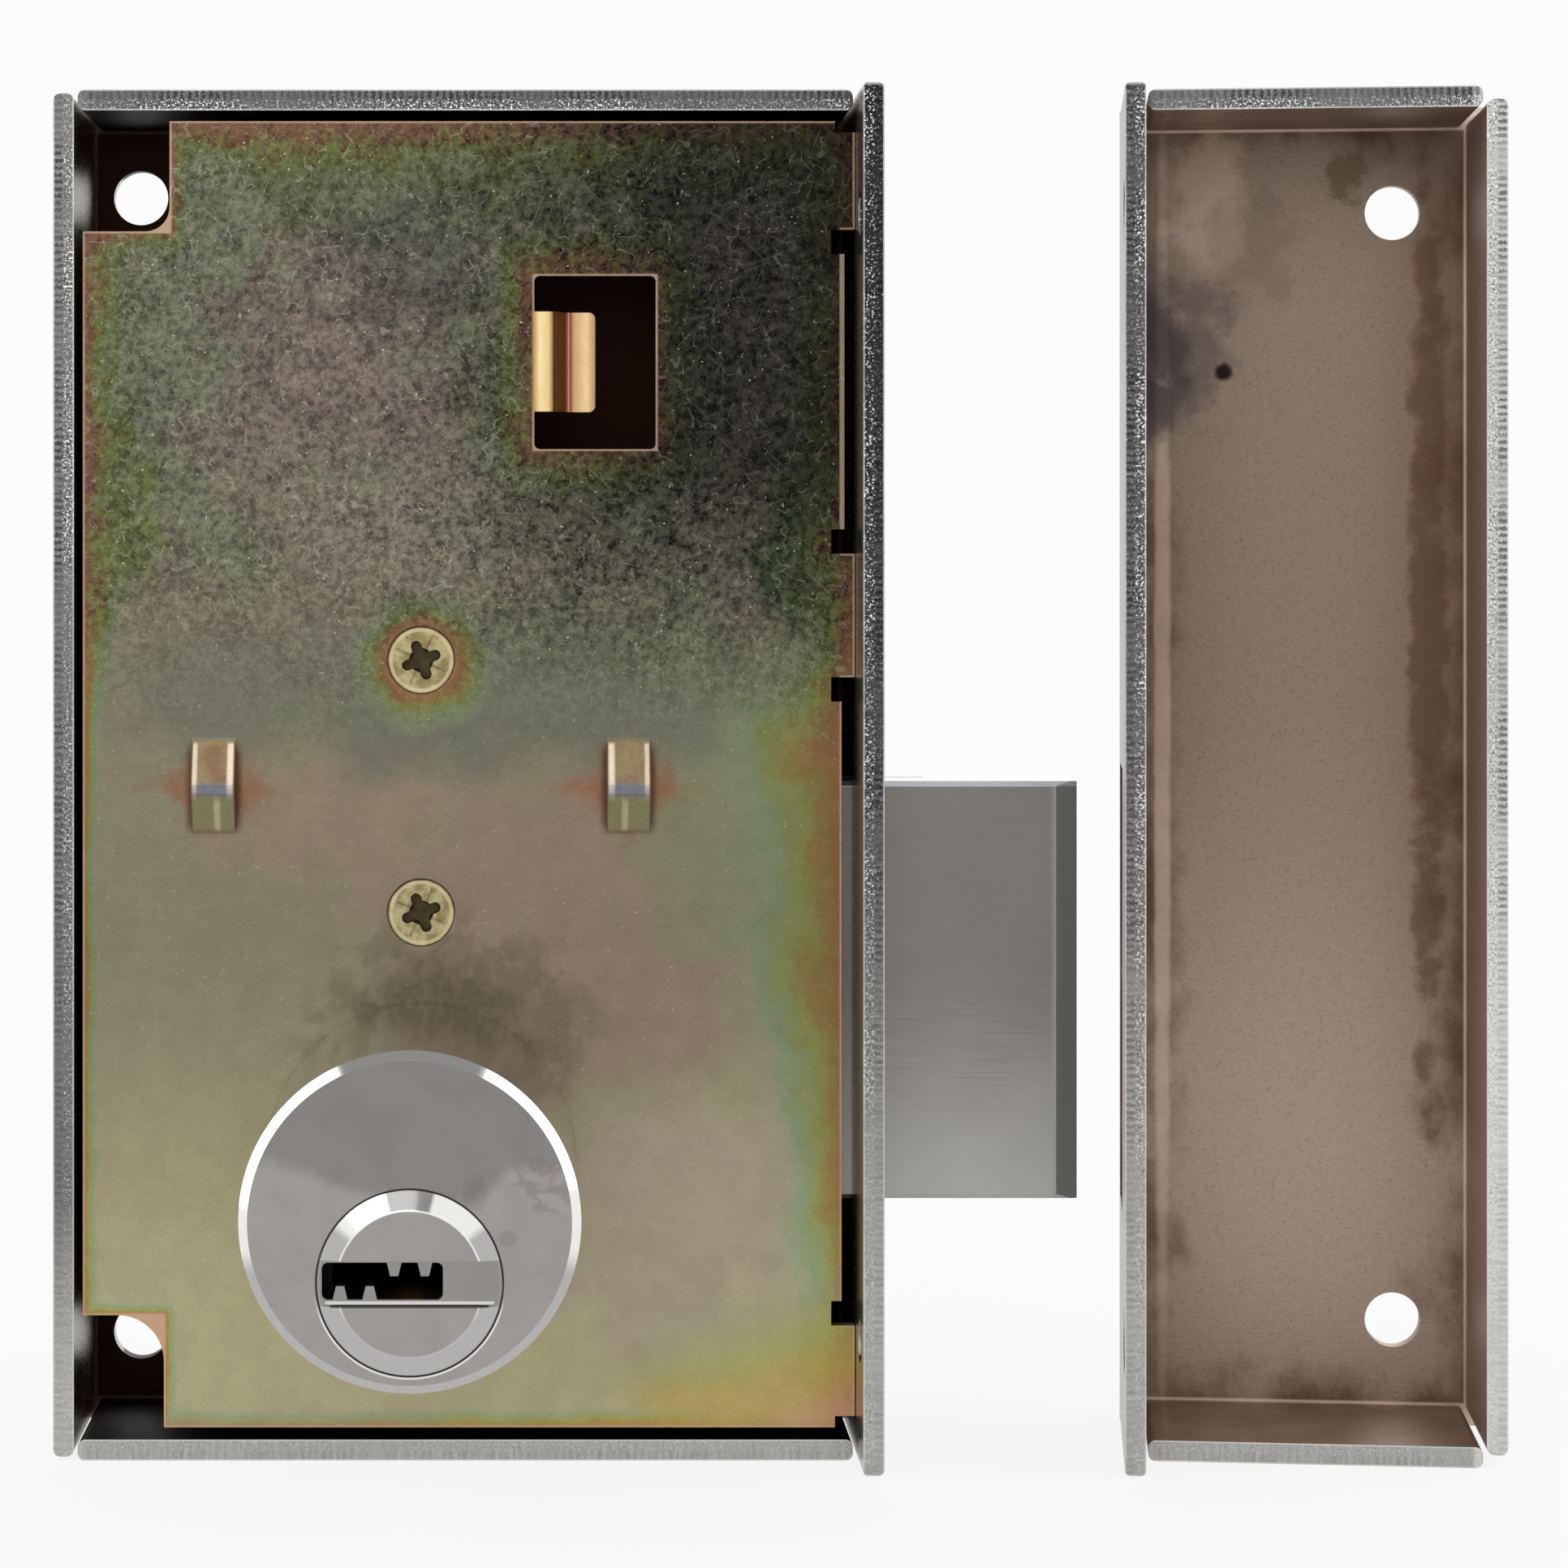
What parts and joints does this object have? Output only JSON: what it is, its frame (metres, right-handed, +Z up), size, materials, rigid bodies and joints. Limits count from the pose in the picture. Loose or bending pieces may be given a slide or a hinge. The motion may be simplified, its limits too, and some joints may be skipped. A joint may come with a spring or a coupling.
{
  "type": "rim box lock",
  "caption": "Surface-mounted rim box lock: folded case with a lipped front, square-edged deadbolt, round pin-tumbler cylinder, inside thumb turn and a separate box keeper.",
  "frame": {"origin": "on the cylinder barrel's axis, in the plane of the case rims, which lie against the door", "axes": "+X along the door from the lock's back edge to the keeper, +Z up, -Y towards the door along the barrel"},
  "size_m": [0.1557, 0.1008, 0.145],
  "materials": {
    "sheet_steel": "rolled sheet steel, satin, speckled and lightly streaked",
    "yellow_zinc_plate": "yellow-passivated zinc on steel, iridescent olive to orange",
    "yellow_zinc_screw": "yellow-passivated zinc on a steel screw",
    "satin_steel": "satin steel, horizontally brushed",
    "plain_steel": "bright steel, plain",
    "spring_steel": "drawn spring steel",
    "dark_steel": "black-oxide steel",
    "bush_brass": "turned brass",
    "pin_brass": "turned brass",
    "polished_chrome": "polished chrome plate",
    "turn_finish": "satin steel"
  },
  "bodies": {
    "lock_case": {"case_shell": "sheet_steel", "mechanism_plate": "yellow_zinc_plate", "plate_screws": "yellow_zinc_screw", "plate_posts": "plain_steel", "pinion_bush": "bush_brass", "detent_bracket": "plain_steel", "detent_spring": "spring_steel", "cylinder_barrel": "polished_chrome", "chamber_plugs": "polished_chrome", "cylinder_spacers": "plain_steel", "cylinder_screws": "plain_steel", "turn_base": "plain_steel", "turn_cover": "turn_finish", "pin_spring_1": "spring_steel", "pin_spring_2": "spring_steel", "pin_spring_3": "spring_steel", "pin_spring_4": "spring_steel", "pin_spring_5": "spring_steel"},
    "bolt": {"deadbolt_head": "satin_steel", "bolt_tail": "plain_steel", "bolt_rivets": "plain_steel"},
    "turn": {"drive_pinion": "plain_steel", "thumb_turn": "turn_finish", "turn_grub_screw": "dark_steel"},
    "plug": {"cylinder_plug": "polished_chrome", "plug_circlip": "spring_steel", "plug_tailpiece": "plain_steel"},
    "detent": {"detent_plunger": "plain_steel"},
    "keeper": {"keeper_box": "sheet_steel"},
    "key_pin_1": {"key_pin_1": "pin_brass"},
    "driver_pin_1": {"driver_pin_1": "pin_brass"},
    "key_pin_2": {"key_pin_2": "pin_brass"},
    "driver_pin_2": {"driver_pin_2": "pin_brass"},
    "key_pin_3": {"key_pin_3": "pin_brass"},
    "driver_pin_3": {"driver_pin_3": "pin_brass"},
    "key_pin_4": {"key_pin_4": "pin_brass"},
    "driver_pin_4": {"driver_pin_4": "pin_brass"},
    "key_pin_5": {"key_pin_5": "pin_brass"},
    "driver_pin_5": {"driver_pin_5": "pin_brass"}
  },
  "joints": [
    {"name": "bolt_slide", "type": "slide", "parent": "lock_case", "child": "bolt", "axis": [1, 0, 0], "range_m": [-0.022, 0]},
    {"name": "turn_spin", "type": "hinge", "parent": "lock_case", "child": "turn", "pos_m": [0, 0, -0.0057], "axis": [0, 1, 0], "range_deg": [-361, 0]},
    {"name": "plug_turn", "type": "hinge", "parent": "lock_case", "child": "plug", "pos_m": [0, 0, -0.0057], "axis": [0, 1, 0], "range_deg": [-361, 0]},
    {"name": "detent_drop", "type": "slide", "parent": "lock_case", "child": "detent", "axis": [0, 0, 1], "range_m": [-0.001, 0], "stiffness_N_per_m": 100, "springref_m": -0.003, "deforming": ["detent_spring"]},
    {"name": "keeper_place", "type": "hinge", "parent": "lock_case", "child": "keeper", "pos_m": [0.0628, -0.2025, 0], "axis": [0, 0, 1], "range_deg": [0, 6.5]},
    {"name": "key_pin_1_drop", "type": "slide", "parent": "plug", "child": "key_pin_1", "axis": [0, 0, 1], "range_m": [-0.0012, 0]},
    {"name": "driver_pin_1_drop", "type": "slide", "parent": "lock_case", "child": "driver_pin_1", "axis": [0, 0, 1], "range_m": [-0.00121, 0], "deforming": ["pin_spring_1"]},
    {"name": "key_pin_2_drop", "type": "slide", "parent": "plug", "child": "key_pin_2", "axis": [0, 0, 1], "range_m": [-0.00181, 0]},
    {"name": "driver_pin_2_drop", "type": "slide", "parent": "lock_case", "child": "driver_pin_2", "axis": [0, 0, 1], "range_m": [-0.00181, 0], "deforming": ["pin_spring_2"]},
    {"name": "key_pin_3_drop", "type": "slide", "parent": "plug", "child": "key_pin_3", "axis": [0, 0, 1], "range_m": [-0.00081, 0]},
    {"name": "driver_pin_3_drop", "type": "slide", "parent": "lock_case", "child": "driver_pin_3", "axis": [0, 0, 1], "range_m": [-0.00081, 0], "deforming": ["pin_spring_3"]},
    {"name": "key_pin_4_drop", "type": "slide", "parent": "plug", "child": "key_pin_4", "axis": [0, 0, 1], "range_m": [-0.00151, 0]},
    {"name": "driver_pin_4_drop", "type": "slide", "parent": "lock_case", "child": "driver_pin_4", "axis": [0, 0, 1], "range_m": [-0.00151, 0], "deforming": ["pin_spring_4"]},
    {"name": "key_pin_5_drop", "type": "slide", "parent": "plug", "child": "key_pin_5", "axis": [0, 0, 1], "range_m": [-0.00211, 0]},
    {"name": "driver_pin_5_drop", "type": "slide", "parent": "lock_case", "child": "driver_pin_5", "axis": [0, 0, 1], "range_m": [-0.00211, 0], "deforming": ["pin_spring_5"]}
  ],
  "couplings": [
    {"joint": "turn_spin", "follows": "bolt_slide", "rad_per_m": 285.6},
    {"joint": "plug_turn", "follows": "bolt_slide", "rad_per_m": 285.6},
    {"joint": "driver_pin_1_drop", "follows": "key_pin_1_drop", "ratio": 1},
    {"joint": "key_pin_2_drop", "follows": "key_pin_1_drop", "ratio": 1.5},
    {"joint": "driver_pin_2_drop", "follows": "key_pin_1_drop", "ratio": 1.5},
    {"joint": "key_pin_3_drop", "follows": "key_pin_1_drop", "ratio": 0.66667},
    {"joint": "driver_pin_3_drop", "follows": "key_pin_1_drop", "ratio": 0.66667},
    {"joint": "key_pin_4_drop", "follows": "key_pin_1_drop", "ratio": 1.25},
    {"joint": "driver_pin_4_drop", "follows": "key_pin_1_drop", "ratio": 1.25},
    {"joint": "key_pin_5_drop", "follows": "key_pin_1_drop", "ratio": 1.75},
    {"joint": "driver_pin_5_drop", "follows": "key_pin_1_drop", "ratio": 1.75}
  ]
}
